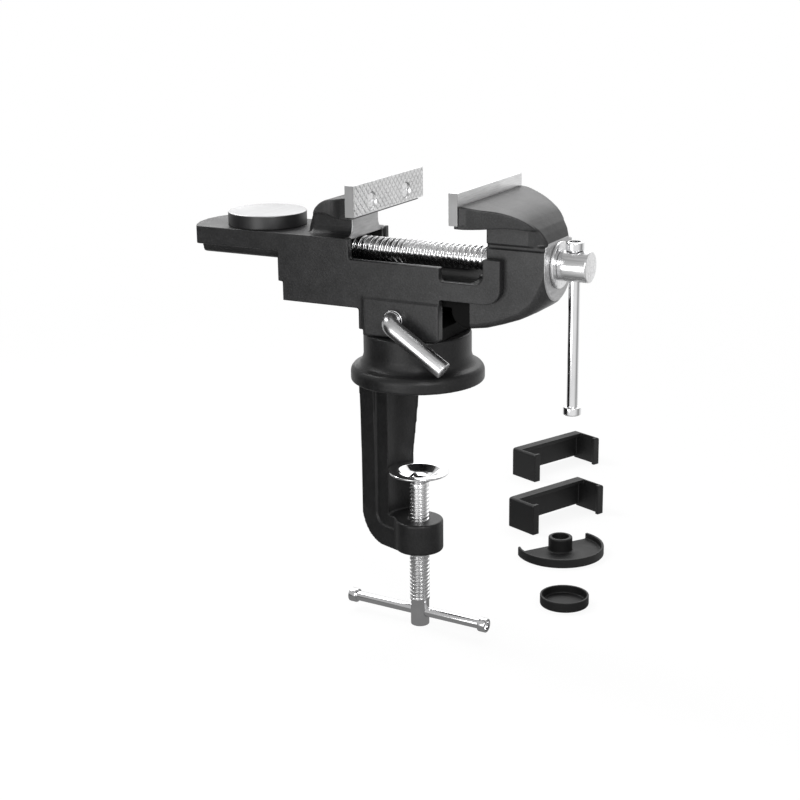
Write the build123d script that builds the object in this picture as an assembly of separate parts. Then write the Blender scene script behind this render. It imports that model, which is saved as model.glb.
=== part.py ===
from build123d import *
import math
import os

os.makedirs("parts", exist_ok=True)

# Frame: millimetres, +Z up. The origin is the centre of the flange's underside, on the swivel axis.
# +X runs along the main screw towards its T-handle, +Y is away from the lock lever.

# ---- clearances ----
fit_gap = 0.08          # radial clearance of a shaft that turns or slides in its bore
free_gap = 0.3          # clearance between moving faces that are not a fit
slide_gap = 0.3         # between the moving jaw's beam and the side walls
seat_gap = 0.1          # gap between faces that bear on each other and turn

# ---- base: flange, neck and C-frame ----
flange_r = 32.8
flange_edge = 4.9
flange_shoulder_z = 7.4
neck_r = 26.4
neck_foot_z = 13.0
neck_top = 24.0
socket_r = 7.6          # socket in the flange's underside, for the pad's hub
socket_depth = 11.5
frame_turn = -20.0      # how far the C-frame is turned about the swivel axis
arm_outer = 33.2        # from the swivel axis to the arm's back
arm_inner = 13.8
arm_half = 9.3
arm_half_top = 10.2
arm_far_top = 13.2      # the arm widens on its far side towards the flange
arm_gusset = 2.4        # and grows inwards
cup_path_r = 15.9       # the arm is hollowed to this radius so that the cup can pass
rim_w = 10.8            # raised rim along the outside of the C-frame
rim_step = 1.0
corner_r = 17.0
lower_z = -90.4         # underside of the lower arm
boss_r = 12.1
boss_top = -73.4
boss_bottom = -89.4

# ---- swivel ----
bolt_r = 4.0
bolt_head_r = 6.4
bolt_head_h = 5.3
bolt_pocket_r = bolt_head_r + 0.4   # pocket above the socket, for the bolt's head
bolt_top = socket_depth + 6.0       # where the head bears
spigot_r = 12.0
spigot_h = 2.4
nut_r = 6.5
nut_h = 4.0
washer_r = 7.6
washer_t = 1.0

# ---- vise body ----
body_half = 20.5
wall_t = 3.8
turret_z = neck_top + seat_gap
floor_z = 30.6
turret_x0 = -21.4
turret_x1 = 22.1
pad_x0 = -18.6          # raised pad that carries the lever
pad_t = 0.8
slab_x0 = -113.4
slab_top = 70.1
slab_bottom = 61.2
tail_half = 9.5
tail_bottom = 54.7
tail_x0 = -117.5
rear_x0 = -66.0
rear_step_x = -63.5
rear_step_z = 46.1
rear_bottom = 36.8
channel_x = -26.2       # where the open channel starts
pocket_x = -36.0        # the channel's inner end, under the fixed jaw's stem
pocket_top = 68.6
wall_top = 60.2
slot_x1 = 44.3
slot_bottom = 53.9
hook_x1 = 53.2
hook_top = 66.0
hook_bottom = 45.0
hook_r = 7.5
roof_z = 53.9           # underside of the block that carries the bearing

# ---- jaws ----
screw_z = 62.5
rear_face = -14.4       # gripping face of the fixed plate
front_face = 34.3       # gripping face of the moving plate
plate_t = 4.6
plate_half = 35.0
plate_z0 = 83.2
plate_z1 = 97.9
jaw_half = 34.5
wing_z = 81.7
lip_w = 2.2
stem_depth = 8.7        # from the back of the plate to the front of the fixed jaw's stem
stem_half = 12.7
stem_flare = 3.8        # how far the stem's foot spreads to each side
jaw_screw_y = 17.1
jaw_screw_z = 88.9
jaw_screw_head_r = 3.5
jaw_screw_r = 1.8
jaw_screw_len = 4.6      # how far the screws reach into the casting
jaw_screw_hole = jaw_screw_len + 0.3   # depth of the holes in the castings
jaw_screw_sink = 0.8    # how deep the screws' heads lie

# ---- moving jaw casting ----
beam_half = body_half - wall_t - slide_gap
beam_x0 = -8.0
beam_top = 53.3
beam_bottom = 40.9
belly_x0 = 26.6
stem_x0 = 44.5
nose_x1 = 73.5
nose_r = 16.4
groove_z0 = 70.6
groove_z1 = 72.8
groove_d = 0.9

# ---- main screw: it turns in the rear block and the nut in the moving jaw travels along it ----
screw_r = 5.9
journal_r = 4.4          # the part that turns in the rear bearing
bearing_x0 = -58.0
bearing_x1 = -37.0
bearing_half = 9.5
bearing_z0 = 55.2
bearing_z1 = 69.0
collar_r = 11.0
collar_t = 1.5
head_x0 = nose_x1 + seat_gap + collar_t
head_x1 = 89.2
head_r = 7.3
ring_r = 6.0             # retaining ring behind the bearing
ring_t = 1.4
jaw_nut_r = 6.9
jaw_nut_out = 1.7        # how far the nut stands out of the casting
jaw_nut_len = 19.0
bar_x = 81.3
bar_r = 2.65
bar_bottom = -4.2
bar_knob_r = 4.3
bar_knob_h = 4.0

# ---- anvil ----
anvil_x = -84.1
anvil_r = 19.7
anvil_top = 77.0

# ---- lock lever ----
lever_x = -1.3
lever_z = 33.3
lever_r = 4.3
lever_hub_r = 3.0
lever_out = 8.2         # from the wall's face to the lever's axis
lever_y = -body_half - lever_out
lever_tip = (28.6, 13.6)
lever_bend = 5.2
lever_ring_r = 5.0
lock_pin_r = 1.3

# ---- clamp screw ----
clamp_r = 5.0
cup_z = -48.0
cup_r = 15.0
cup_mouth_r = 10.4
cup_h = 5.4
cup_hole_r = 3.0
hub_r = 4.7
hub_top = -117.6
hub_bottom = -130.4
clamp_bar_z = -123.3
clamp_bar_turn = -3.5
clamp_bar_r = 2.5
clamp_bar_x0 = -37.6
clamp_bar_x1 = 34.8
clamp_knob_r = 3.6
clamp_knob_h = 4.2

# ---- loose protectors, on the surface level with the lowest point of the clamp screw ----
ground_z = hub_bottom
cover_len = 58.0
cover_w = 21.0
cover_h = 18.2
cover_t = 2.2
cover_lip = 4.6
cover_turn = -23.0
cover_at = ((-33.0, 257.0), (3.8, 170.0))
pad_rim_r = 24.6
pad_hub_r = 6.8
pad_hub_bore = 4.8
pad_hub_h = 8.0
pad_floor = 1.8
pad_rim_h = 5.0
pad_rim_t = 1.5
pad_cut = -7.8
pad_turn = -35.0
pad_at = (26.4, 122.0)
cap_r = 12.8
cap_h = 5.4
cap_t = 1.1
cap_at = (56.5, 55.5)


def xz(points, half, y=0.0):
    """A profile drawn in XZ and thickened by half to each side of y."""
    face = Plane.XZ * make_face(Polyline(*points, close=True))
    return Pos(0, y, 0) * extrude(face, amount=half, both=True)


def block(x0, x1, y0, y1, z0, z1):
    return Pos((x0 + x1) / 2, (y0 + y1) / 2, (z0 + z1) / 2) * Box(x1 - x0, y1 - y0, z1 - z0)


def rod_z(x, y, z0, z1, r):
    return Pos(x, y, (z0 + z1) / 2) * Cylinder(r, z1 - z0)


def rod_x(x0, x1, y, z, r):
    return Pos((x0 + x1) / 2, y, z) * Rot(0, 90, 0) * Cylinder(r, x1 - x0)


def rod_y(x, y0, y1, z, r):
    return Pos(x, (y0 + y1) / 2, z) * Rot(90, 0, 0) * Cylinder(r, y1 - y0)


def turned_z(points):
    """A profile of (radius, z) pairs turned about the Z axis."""
    return revolve(Plane.XZ * make_face(Polyline(*points, close=True)), Axis.Z)


def turned_x(points, z):
    """A profile of (x, radius) pairs turned about the X axis at height z."""
    face = Plane.XZ * make_face(Polyline(*points, close=True))
    return Pos(0, 0, z) * revolve(face, Axis.X)


def rounded(part, edges, radii):
    """Rounds the edges with the largest of the radii that the shape takes."""
    for r in radii:
        try:
            out = fillet(edges, r)
            if out.is_valid and out.volume > 0:
                return out
        except Exception:
            pass
    return part


def keep(name, part):
    part = Part(part.wrapped) if not isinstance(part, Part) else part
    export_step(part, "parts/" + name + ".step")
    print(name, round(part.volume, 1), part.bounding_box().min, part.bounding_box().max)


# ---------------------------------------------------------------- base
def arm_section(z0, z1, lower, upper):
    """The upright's solid between two heights; each end is (near half, far half, inner face)."""
    def ring(z, near, far, inner):
        return Plane.XY.offset(z) * make_face(Polyline(
            (-arm_outer, -near), (-inner, -near), (-inner, far), (-arm_outer, far), close=True))
    return loft([ring(z0, *lower), ring(z1, *upper)])


def c_frame():
    plain = (arm_half, arm_half, arm_inner)
    upright = arm_section(-62.0, -44.0, plain, plain)
    upright += arm_section(-44.0, 1.0, plain, (arm_half_top, arm_far_top, arm_inner - arm_gusset))
    inside = 7.0
    lower = xz([(-arm_outer, -61.5), (-arm_outer, lower_z), (0, lower_z), (0, boss_top),
                (-arm_inner, boss_top), (-arm_inner, -61.5)], arm_half)
    lower = rounded(lower, lower.edges().filter_by(Axis.Y).group_by(Axis.Z)[0].sort_by(Axis.X)[:1],
                    (corner_r, corner_r - 3, corner_r - 8))
    corner = block(-arm_inner - 0.5, -arm_inner + inside, -arm_half, arm_half, boss_top - 0.5, boss_top + inside)
    corner -= rod_y(-arm_inner + inside, -arm_half - 1, arm_half + 1, boss_top + inside, inside)
    shape = upright + lower + corner
    shape -= rod_z(0, 0, boss_top, 0.0, cup_path_r)
    # the web between the raised rim and the inner edge is sunk on both sides
    for side, inner in ((-1, 9.0), (1, arm_inner + 3.0)):
        web = xz([(-arm_outer + rim_w, 20), (-arm_outer + rim_w, lower_z + rim_w), (-inner, lower_z + rim_w),
                  (-inner, 20)], 2.0)
        web = rounded(web, web.edges().filter_by(Axis.Y).group_by(Axis.Z)[0].sort_by(Axis.X)[:1],
                      (corner_r - rim_w, corner_r - rim_w - 3))
        shape -= Pos(0, side * (arm_half - rim_step + 2.0), 0) * web
    boss = rod_z(0, 0, boss_bottom, boss_top, boss_r)
    boss = rounded(boss, boss.edges().filter_by(GeomType.CIRCLE), (1.0, 0.6))
    shape += boss
    shape -= rod_z(0, 0, lower_z - 5, boss_top + 5, clamp_r + fit_gap)
    return Rot(0, 0, frame_turn) * shape


def clamp_frame():
    body = turned_z([
        (0, 0), (flange_r - 0.6, 0), (flange_r, 0.6), (flange_r, flange_edge),
        (flange_r - 0.4, flange_edge + 1.2), (flange_r - 1.4, flange_shoulder_z),
        (28.6, 8.5), (27.3, 9.9), (neck_r, neck_foot_z), (neck_r, neck_top - 0.5),
        (neck_r - 0.5, neck_top), (0, neck_top)])
    body += c_frame()
    body -= rod_z(0, 0, -1, socket_depth, socket_r)
    body -= rod_z(0, 0, socket_depth - 1, bolt_top, bolt_pocket_r)
    body -= rod_z(0, 0, bolt_top - 1, neck_top + 1, bolt_r + 0.2)
    body -= rod_z(0, 0, neck_top - spigot_h - seat_gap, neck_top + 1, spigot_r + fit_gap)
    return body


def hexagon(r, z0, z1):
    return extrude(Plane.XY.offset(z0) * RegularPolygon(r, 6), amount=z1 - z0)


def swivel_bolt():
    bolt = hexagon(bolt_head_r, bolt_top - bolt_head_h, bolt_top - 0.02)
    bolt += rod_z(0, 0, bolt_top - 0.1, floor_z - 0.5, bolt_r)
    return bolt


nut_floor = floor_z - 0.4 - nut_h - washer_t    # bottom of the recess that hides the swivel nut


def swivel_washer():
    z0 = nut_floor + seat_gap
    return rod_z(0, 0, z0, z0 + washer_t, washer_r) - rod_z(0, 0, z0 - 1, z0 + 3, bolt_r + 0.02)


def swivel_nut():
    z0 = nut_floor + seat_gap + washer_t + 0.02
    return hexagon(nut_r, z0, floor_z - 0.25) - rod_z(0, 0, z0 - 1, z0 + 9, bolt_r + 0.02)


# ---------------------------------------------------------------- vise body
def side_wall(side):
    outline = [
        (rear_x0, slab_top), (channel_x, slab_top), (channel_x, wall_top), (turret_x1, wall_top),
        (turret_x1, slot_bottom), (slot_x1, slot_bottom), (slot_x1, hook_top), (hook_x1, hook_top),
        (hook_x1, hook_bottom), (turret_x1, hook_bottom), (turret_x1, turret_z), (turret_x0, turret_z),
        (turret_x0, rear_bottom), (rear_step_x, rear_bottom), (rear_step_x, rear_step_z), (rear_x0, rear_step_z)]
    wall = xz(outline, wall_t / 2, side * (body_half - wall_t / 2))
    edges = wall.edges().filter_by(Axis.Y)
    low_hook = [e for e in edges if abs(e.center().X - hook_x1) < 0.1 and e.center().Z < 50]
    wall = rounded(wall, low_hook, (hook_r, 5, 3))
    edges = wall.edges().filter_by(Axis.Y)
    slot = [e for e in edges if abs(e.center().X - slot_x1) < 0.1 and abs(e.center().Z - slot_bottom) < 0.1]
    wall = rounded(wall, slot, (4.5, 3, 2))
    edges = wall.edges().filter_by(Axis.Y)
    slot = [e for e in edges if abs(e.center().X - turret_x1) < 0.1 and abs(e.center().Z - slot_bottom) < 0.1]
    wall = rounded(wall, slot, (1.5, 1))
    edges = wall.edges().filter_by(Axis.Y)
    low = [e for e in edges if abs(e.center().X - turret_x1) < 0.1 and abs(e.center().Z - turret_z) < 0.1]
    return rounded(wall, low, (2.5, 1.5))


def slab():
    end = [(slab_x0, -body_half), (slab_x0 - 3.2, -body_half * 0.76), (slab_x0 - 6.2, -body_half * 0.39),
           (slab_x0 - 7.2, 0)]
    end = end + [(x, -y) for x, y in reversed(end[:-1])]
    outline = end + [(rear_x0 + 4, body_half), (rear_x0 + 4, -body_half)]
    face = Plane.XY.offset(slab_bottom) * make_face(Polyline(*outline, close=True))
    return extrude(face, amount=slab_top - slab_bottom)


def fixed_jaw_head():
    """The domed head behind the fixed plate, with its stem spreading into the slab."""
    back = rear_face - plate_t
    front = back - stem_depth
    top = wing_z + 1.5
    side = xz([(front, slab_top - 1), (front, top), (back - 26.7, top), (back - 30.6, 80.6),
               (back - 32.7, 75.0), (back - 35.3, slab_top - 0.1), (back - 35.3, slab_top - 1)], stem_half)
    plan = block(back - 35.3, front, -stem_half, stem_half, slab_top - 1, top)
    corners = [e for e in plan.edges().filter_by(Axis.Z) if e.center().X < back - 20]
    stem = side & rounded(plan, corners, (5.5, 3))
    wide = stem_half + stem_flare
    foot = [(0, slab_top - 1.4), (wide, slab_top - 1.4), (wide, slab_top + 0.2),
            (stem_half + stem_flare * 0.55, slab_top + 0.7), (stem_half + stem_flare * 0.2, slab_top + 2.0),
            (stem_half - 0.1, slab_top + 4.4), (0, slab_top + 4.4)]
    foot = foot + [(-y, z) for y, z in reversed(foot[1:-1])]
    foot = Plane.YZ * make_face(Polyline(*foot, close=True))
    foot = Pos(back - 31.0, 0, 0) * extrude(foot, amount=front - back + 31.0)
    return wing(-1, back, 0.955) + stem + foot


def wing(side, back, depth=1.0):
    """Half of a domed jaw: plan outline and side outline crossed. side -1 grows towards -X, +1 towards +X."""
    def place(points):
        return [(back + side * x * depth, y) for x, y in points]
    half = [(3.6, -jaw_half + 0.4), (8.6, -31.8), (14, -27.9), (18.7, -24.6), (24, -21.2), (27, -19.2),
            (30, -16.6), (32.6, -12.8), (34.2, -7.6), (34.8, 0)]
    round_end = Spline(*place(half + [(x, -y) for x, y in reversed(half[:-1])]))
    rest = Polyline(*place([(3.6, jaw_half - 0.4), (0, jaw_half), (0, -jaw_half), (3.6, -jaw_half + 0.4)]))
    flat = Plane.XY.offset(wing_z - 5) * make_face([round_end, rest])
    shape = extrude(flat, amount=20)
    dome = Spline(*place([(0, 92.0), (2.5, 91.9), (8.6, 90.7), (14, 89.7), (18.7, 88.3), (23, 86.4), (27, 83.8),
                          (29.2, wing_z), (30.4, wing_z - 1.5)]))
    under = Polyline(*place([(30.4, wing_z - 1.5), (18.0, wing_z), (0, wing_z), (0, 92.0)]))
    shape = shape & extrude(Plane.XZ * make_face([dome, under]), amount=60, both=True)
    x_lip = back - side * lip_w
    lip = block(min(x_lip, back + side * 3), max(x_lip, back + side * 3), -jaw_half, jaw_half, wing_z, plate_z0)
    return shape + lip


def vise_body():
    body = side_wall(-1) + side_wall(1)
    inner = body_half - wall_t + 0.2
    body += block(rear_x0, channel_x, -inner, inner, roof_z, slab_top)
    body += block(rear_x0, rear_x0 + 4.2, -inner, inner, rear_step_z, roof_z + 1)
    body += block(rear_step_x, rear_x0 + 6.2, -inner, inner, rear_bottom, roof_z)
    body += block(rear_step_x, turret_x0 - 1.2, -inner, inner, rear_bottom, rear_bottom + 3.2)
    body += block(turret_x0, turret_x1, -inner, inner, turret_z, floor_z)
    body += rod_z(0, 0, neck_top - spigot_h, turret_z + 1, spigot_r)
    # raised pad round the lever's hole, fading into the wall at its top
    front = -body_half
    pad = block(pad_x0, turret_x1, front - pad_t, front + 1, turret_z, 42.5)
    top = [e for e in pad.edges().filter_by(Axis.X) if e.center().Z > 42 and e.center().Y < front]
    pad = rounded(pad, top, (0.7, 0.4))
    low = [e for e in pad.edges().filter_by(Axis.Y) if e.center().X > turret_x1 - 0.1 and e.center().Z < 30]
    pad = rounded(pad, low, (2.5, 1.5))
    body += pad
    body += slab()
    tail = block(tail_x0, rear_x0 + 1, -tail_half, tail_half, tail_bottom, slab_bottom + 1)
    edges = [e for e in tail.edges().filter_by(Axis.X) if e.center().Z < tail_bottom + 1]
    body += rounded(tail, edges, (3.0, 2.0))
    body += fixed_jaw_head()
    # the screw's end, the pocket for its bearing and the channel's inner end
    body -= rod_x(bearing_x0 - 6.0, pocket_x + 1, 0, screw_z, screw_r + 0.6)
    h = bearing_half + 0.02
    body -= block(bearing_x0, pocket_x + 3, -h, h, bearing_z0 - 0.02, bearing_z1 + 0.02)
    inner = body_half - wall_t
    body -= block(pocket_x, channel_x + 1, -inner, inner, roof_z - 0.5, pocket_top)
    body -= block(rear_face - plate_t - stem_depth, channel_x + 1, -inner, inner, roof_z - 0.5, slab_top + 1)
    body -= block(turret_x0 - 1, pad_x0, -30, 30, turret_z - 1, turret_z + 2.5)
    # swivel bore, the recess for its nut, the lever's hole and the lock pin's hole
    body -= rod_z(0, 0, neck_top - 9, floor_z + 1, bolt_r + fit_gap)
    body -= rod_z(0, 0, nut_floor, floor_z + 1, washer_r + free_gap)
    body -= rod_y(lever_x, front - 3, front + wall_t + 0.6, lever_z, lever_hub_r + fit_gap)
    body -= rod_z(lever_x, front + 1.5, turret_z - 1, lever_z, lock_pin_r + 0.02)
    for y in (-jaw_screw_y, jaw_screw_y):
        body -= rod_x(rear_face - plate_t - jaw_screw_hole, rear_face, y, jaw_screw_z, jaw_screw_r + 0.02)
    return body


def jaw_plate(face, side):
    """A flat jaw plate with two countersunk holes. side +1 grips towards +X, -1 towards -X."""
    x0, x1 = (face - plate_t, face) if side > 0 else (face, face + plate_t)
    plate = block(x0, x1, -plate_half, plate_half, plate_z0 + 0.02, plate_z1)
    plate = chamfer(plate.edges(), 0.3)
    for y in (-jaw_screw_y, jaw_screw_y):
        plate -= screw_shape(face, side, y, 0.02)
        mouth = [(face + side, 0), (face + side, jaw_screw_head_r + 0.7), (face, jaw_screw_head_r + 0.7),
                 (face - side * (jaw_screw_sink + 0.1), jaw_screw_head_r + 0.02),
                 (face - side * (jaw_screw_sink + 0.1), 0)]
        plate -= Pos(0, y, 0) * turned_x(mouth, jaw_screw_z)
    return plate


def screw_shape(face, side, y, grow=0.0):
    """A countersunk screw from the gripping face into the casting."""
    head = jaw_screw_head_r + grow
    shank = jaw_screw_r + grow
    depth = plate_t + jaw_screw_len
    top = jaw_screw_sink
    pts = [(top, 0), (top, head), (top + 0.4, head), (top + 0.4 + head - shank, shank), (depth, shank), (depth, 0)]
    pts = [(face - side * x, r) for x, r in pts]
    return Pos(0, y, 0) * turned_x(pts, jaw_screw_z)


def jaw_screws(face, side):
    parts = []
    for y in (-jaw_screw_y, jaw_screw_y):
        s = screw_shape(face, side, y)
        s -= Pos(face - side * jaw_screw_sink, y, jaw_screw_z) * Box(1.6, 5.0, 0.9)
        parts.append(s)
    return parts[0] + parts[1]


def screw_bearing():
    shape = block(bearing_x0, bearing_x1, -bearing_half, bearing_half, bearing_z0, bearing_z1)
    return shape - rod_x(bearing_x0 - 1, bearing_x1 + 1, 0, screw_z, journal_r + fit_gap)


def lock_pin():
    return rod_z(lever_x, -body_half + 1.5, turret_z + 0.02, lever_z - lever_hub_r - fit_gap, lock_pin_r)


def anvil_disc():
    disc = rod_z(anvil_x, 0, slab_top, anvil_top, anvil_r)
    return rounded(disc, disc.edges().filter_by(GeomType.CIRCLE).group_by(Axis.Z)[-1], (0.8, 0.5))


# ---------------------------------------------------------------- moving jaw
def slice_x(x, half, z0, z1, r):
    """An upright rectangle with rounded corners, across the X axis."""
    face = Plane(origin=(x, 0, (z0 + z1) / 2), x_dir=(0, 1, 0), z_dir=(1, 0, 0))
    return face * RectangleRounded(2 * half, z1 - z0, min(r, half - 0.05, (z1 - z0) / 2 - 0.05))


# stations along the moving jaw's underside: x, height of the underside, radius of its two lower edges
belly_line = [
    (belly_x0 - 1, 28.0, 3.0), (belly_x0 + 9.4, 31.4, 3.0), (stem_x0 - 0.5, 32.6, 3.0), (nose_x1 - 21.5, 35.0, 3.2),
    (nose_x1 - 13.5, 37.8, 4.0), (nose_x1 - 7.5, 40.6, 6.0), (nose_x1 - 3.5, 43.2, 10.0),
    (nose_x1 + 0.02, screw_z - nose_r, nose_r)]


def belly():
    """The curved underside of the moving jaw, from behind the turret's side walls to the nose."""
    x = belly_x0
    low = [(px, pz - 0.6) for px, pz, r in belly_line[2:]]
    shape = xz([(x, beam_bottom + 1), (x, 38.0), (x + 1.6, 35.0), (x + 4.0, 33.0), (x + 7.2, 31.8), (x + 9.4, 31.4)]
               + low + [(nose_x1 + 0.02, groove_z1), (stem_x0, groove_z1), (stem_x0, beam_bottom + 1)], beam_half)
    # the lower edges are round, more and more towards the nose, until the front is round about the screw
    slices = [slice_x(px, beam_half, pz, 2 * screw_z - pz + 20, r) for px, pz, r in belly_line]
    keep_in = loft(slices, ruled=True)
    ahead = block(nose_x1, nose_x1 + 5, -30, 30, 0, 100)
    return (shape & keep_in) - ahead


def nose_top():
    """The solid between the jaw's head and the nose, narrowing towards the front in plan."""
    side = xz([
        (stem_x0, groove_z1 - 1), (stem_x0, wing_z + 1.5), (nose_x1 - 7.1, wing_z + 1.7),
        (nose_x1 - 3.9, wing_z - 1.1), (nose_x1 - 1.8, wing_z - 4.1), (nose_x1 - 0.6, wing_z - 6.9),
        (nose_x1, groove_z1), (nose_x1, groove_z1 - 1)], beam_half)
    half = [(stem_x0 - 1, beam_half), (nose_x1 - 8.5, beam_half), (nose_x1 - 4.9, beam_half - 0.9),
            (nose_x1 - 1.9, beam_half - 2.6),
            (nose_x1, beam_half - 4.6)]
    plan = half + [(x, -y) for x, y in reversed(half)]
    face = Plane.XY.offset(groove_z1 - 2) * make_face(Polyline(*plan, close=True))
    return side & extrude(face, amount=20)


def front_jaw():
    beam = xz([(beam_x0, beam_bottom), (beam_x0, beam_top), (stem_x0 + 1, beam_top), (stem_x0 + 1, beam_bottom)],
              beam_half)
    back = front_face + plate_t
    body = beam + belly() + nose_top() + wing(1, back)
    tongue = block(35.4, stem_x0 + 1, -7.0, 7.0, beam_top - 1, screw_z - jaw_nut_r - 0.5)
    edges = [e for e in tongue.edges().filter_by(Axis.Z) if e.center().X < 36]
    body += rounded(tongue, edges, (3.0, 2.0))
    for side in (-1, 1):
        y0, y1 = sorted((side * (beam_half - groove_d), side * (beam_half + 10)))
        body -= block(stem_x0 - 1, nose_x1 + 1, y0, y1, groove_z0, groove_z1)
    body -= rod_x(stem_x0 - 5, nose_x1 + 5, 0, screw_z, screw_r + free_gap)
    body -= rod_x(stem_x0 - 5, stem_x0 + jaw_nut_len + 0.02, 0, screw_z, jaw_nut_r + 0.02)
    # the hollow under the casting
    inside = beam_half - 4.9
    body -= xz([(belly_x0 + 4.6, 20), (belly_x0 + 4.6, 48.0), (66.0, 48.0), (66.0, 20)], inside)
    for y in (-jaw_screw_y, jaw_screw_y):
        body -= rod_x(front_face, back + jaw_screw_hole, y, jaw_screw_z, jaw_screw_r + 0.02)
    return body


def jaw_nut():
    """The threaded bush in the moving jaw that the screw drives."""
    x0 = stem_x0 - jaw_nut_out
    x1 = stem_x0 + jaw_nut_len
    nut = rod_x(x0, x1, 0, screw_z, jaw_nut_r)
    nut = rounded(nut, nut.edges().filter_by(GeomType.CIRCLE).sort_by(Axis.X)[:1], (0.5, 0.3))
    return nut - rod_x(x0 - 1, x1 + 1, 0, screw_z, screw_r + fit_gap)


def stop_collar():
    """The bright washer between the screw's head and the nose."""
    x0 = nose_x1 + seat_gap
    ring = rod_x(x0, x0 + collar_t, 0, screw_z, collar_r)
    ring = rounded(ring, ring.edges().filter_by(GeomType.CIRCLE).sort_by(Axis.X)[-1:], (0.5, 0.3))
    return ring - rod_x(x0 - 1, x0 + 4, 0, screw_z, screw_r + 0.02)


def main_screw():
    shoulder = bearing_x1 + seat_gap
    end = bearing_x0 - seat_gap - ring_t - 0.8
    pts = [(end, 0), (end, journal_r - 0.5), (end + 0.5, journal_r), (shoulder, journal_r),
           (shoulder, screw_r - 1.0), (shoulder + 1.0, screw_r), (head_x0, screw_r),
           (head_x0, head_r - 0.5), (head_x0 + 0.5, head_r), (head_x1 - 0.8, head_r), (head_x1, head_r - 0.8),
           (head_x1, 0)]
    screw = turned_x(pts, screw_z)
    return screw - rod_z(bar_x, 0, screw_z - 12, screw_z + 12, bar_r + fit_gap)


def retaining_ring():
    x1 = bearing_x0 - seat_gap
    ring = rod_x(x1 - ring_t, x1, 0, screw_z, ring_r)
    return ring - rod_x(x1 - ring_t - 1, x1 + 1, 0, screw_z, journal_r + 0.02)


bar_top = screw_z + head_r      # the T-bar rests with its upper knob on the screw's head


def main_bar():
    return rod_z(bar_x, 0, bar_bottom - 3.0, bar_top + 3.2, bar_r)


def bar_knob(z0):
    knob = rod_z(bar_x, 0, z0, z0 + bar_knob_h, bar_knob_r)
    knob = rounded(knob, knob.edges().filter_by(GeomType.CIRCLE), (0.8, 0.5))
    inside = rod_z(bar_x, 0, bar_bottom - 3.02, bar_top + 3.22, bar_r + 0.02)
    return knob - inside


# ---------------------------------------------------------------- lock lever
def lock_lever():
    tip = Vector(lever_tip[0], lever_y, lever_tip[1])
    elbow = Vector(lever_x, lever_y, lever_z)
    start = Vector(lever_x, -body_half - pad_t - free_gap, lever_z)
    out = (start - elbow).normalized()
    along = (tip - elbow).normalized()
    a = elbow + out * lever_bend
    b = elbow + along * lever_bend
    mid_dir = (out + along).normalized()
    mid = elbow + mid_dir * (lever_bend * (math.sqrt(2) - 1))
    path = Line(start, a) + ThreePointArc(a, mid, b) + Line(b, tip)
    section = Plane(origin=start, z_dir=elbow - start) * Circle(lever_r)
    rod = sweep(section, path=path)
    shaft = rod_y(lever_x, start.Y - 0.5, -body_half + wall_t, lever_z, lever_hub_r)
    end = rod.faces().sort_by(lambda f: (f.center() - tip).length)[0]
    rod = rounded(rod, end.edges(), (0.9, 0.6))
    return rod + shaft


def lever_ring():
    y1 = -body_half - pad_t - 0.02
    ring = rod_y(lever_x, y1 - 1.6, y1, lever_z, lever_ring_r)
    return ring - rod_y(lever_x, y1 - 3, y1 + 1, lever_z, lever_r + free_gap)


# ---------------------------------------------------------------- clamp screw
def clamp_cup():
    z = cup_z
    return turned_z([
        (cup_hole_r + fit_gap, z - 3.6), (5.0, z - 3.6), (cup_mouth_r, z - 0.4), (cup_mouth_r + 0.5, z),
        (cup_r - 0.3, z), (cup_r, z - 0.4), (cup_r - 0.2, z - 1.1), (cup_mouth_r + 1.0, z - 1.5),
        (6.0, z - 4.8), (5.6, z - cup_h), (cup_hole_r + fit_gap, z - cup_h)])


def clamp_screw():
    top = cup_z - cup_h - seat_gap
    shape = turned_z([
        (0, hub_bottom), (hub_r - 0.6, hub_bottom), (hub_r, hub_bottom + 0.6), (hub_r, hub_top),
        (clamp_r, hub_top + 0.6), (clamp_r, top - 0.8), (clamp_r - 0.8, top), (cup_hole_r, top),
        (cup_hole_r, cup_z - 2.6), (0, cup_z - 2.6)])
    hole = rod_x(-20, 20, 0, clamp_bar_z, clamp_bar_r + fit_gap)
    return shape - Rot(0, 0, clamp_bar_turn) * hole


def cup_rivet():
    z = cup_z - 3.6 + seat_gap
    return turned_z([(cup_hole_r + 0.02, z), (4.4, z), (4.4, z + 0.8), (3.2, z + 1.9), (0, z + 2.3),
                     (0, cup_z - 2.58), (cup_hole_r + 0.02, cup_z - 2.58)])


def clamp_bar():
    return Rot(0, 0, clamp_bar_turn) * rod_x(clamp_bar_x0 - 1.5, clamp_bar_x1 + 1.5, 0, clamp_bar_z, clamp_bar_r)


def clamp_knob(x0):
    knob = rod_x(x0, x0 + clamp_knob_h, 0, clamp_bar_z, clamp_knob_r)
    knob = rounded(knob, knob.edges().filter_by(GeomType.CIRCLE), (0.7, 0.4))
    knob -= rod_x(clamp_bar_x0 - 1.52, clamp_bar_x1 + 1.52, 0, clamp_bar_z, clamp_bar_r + 0.02)
    return Rot(0, 0, clamp_bar_turn) * knob


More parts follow.
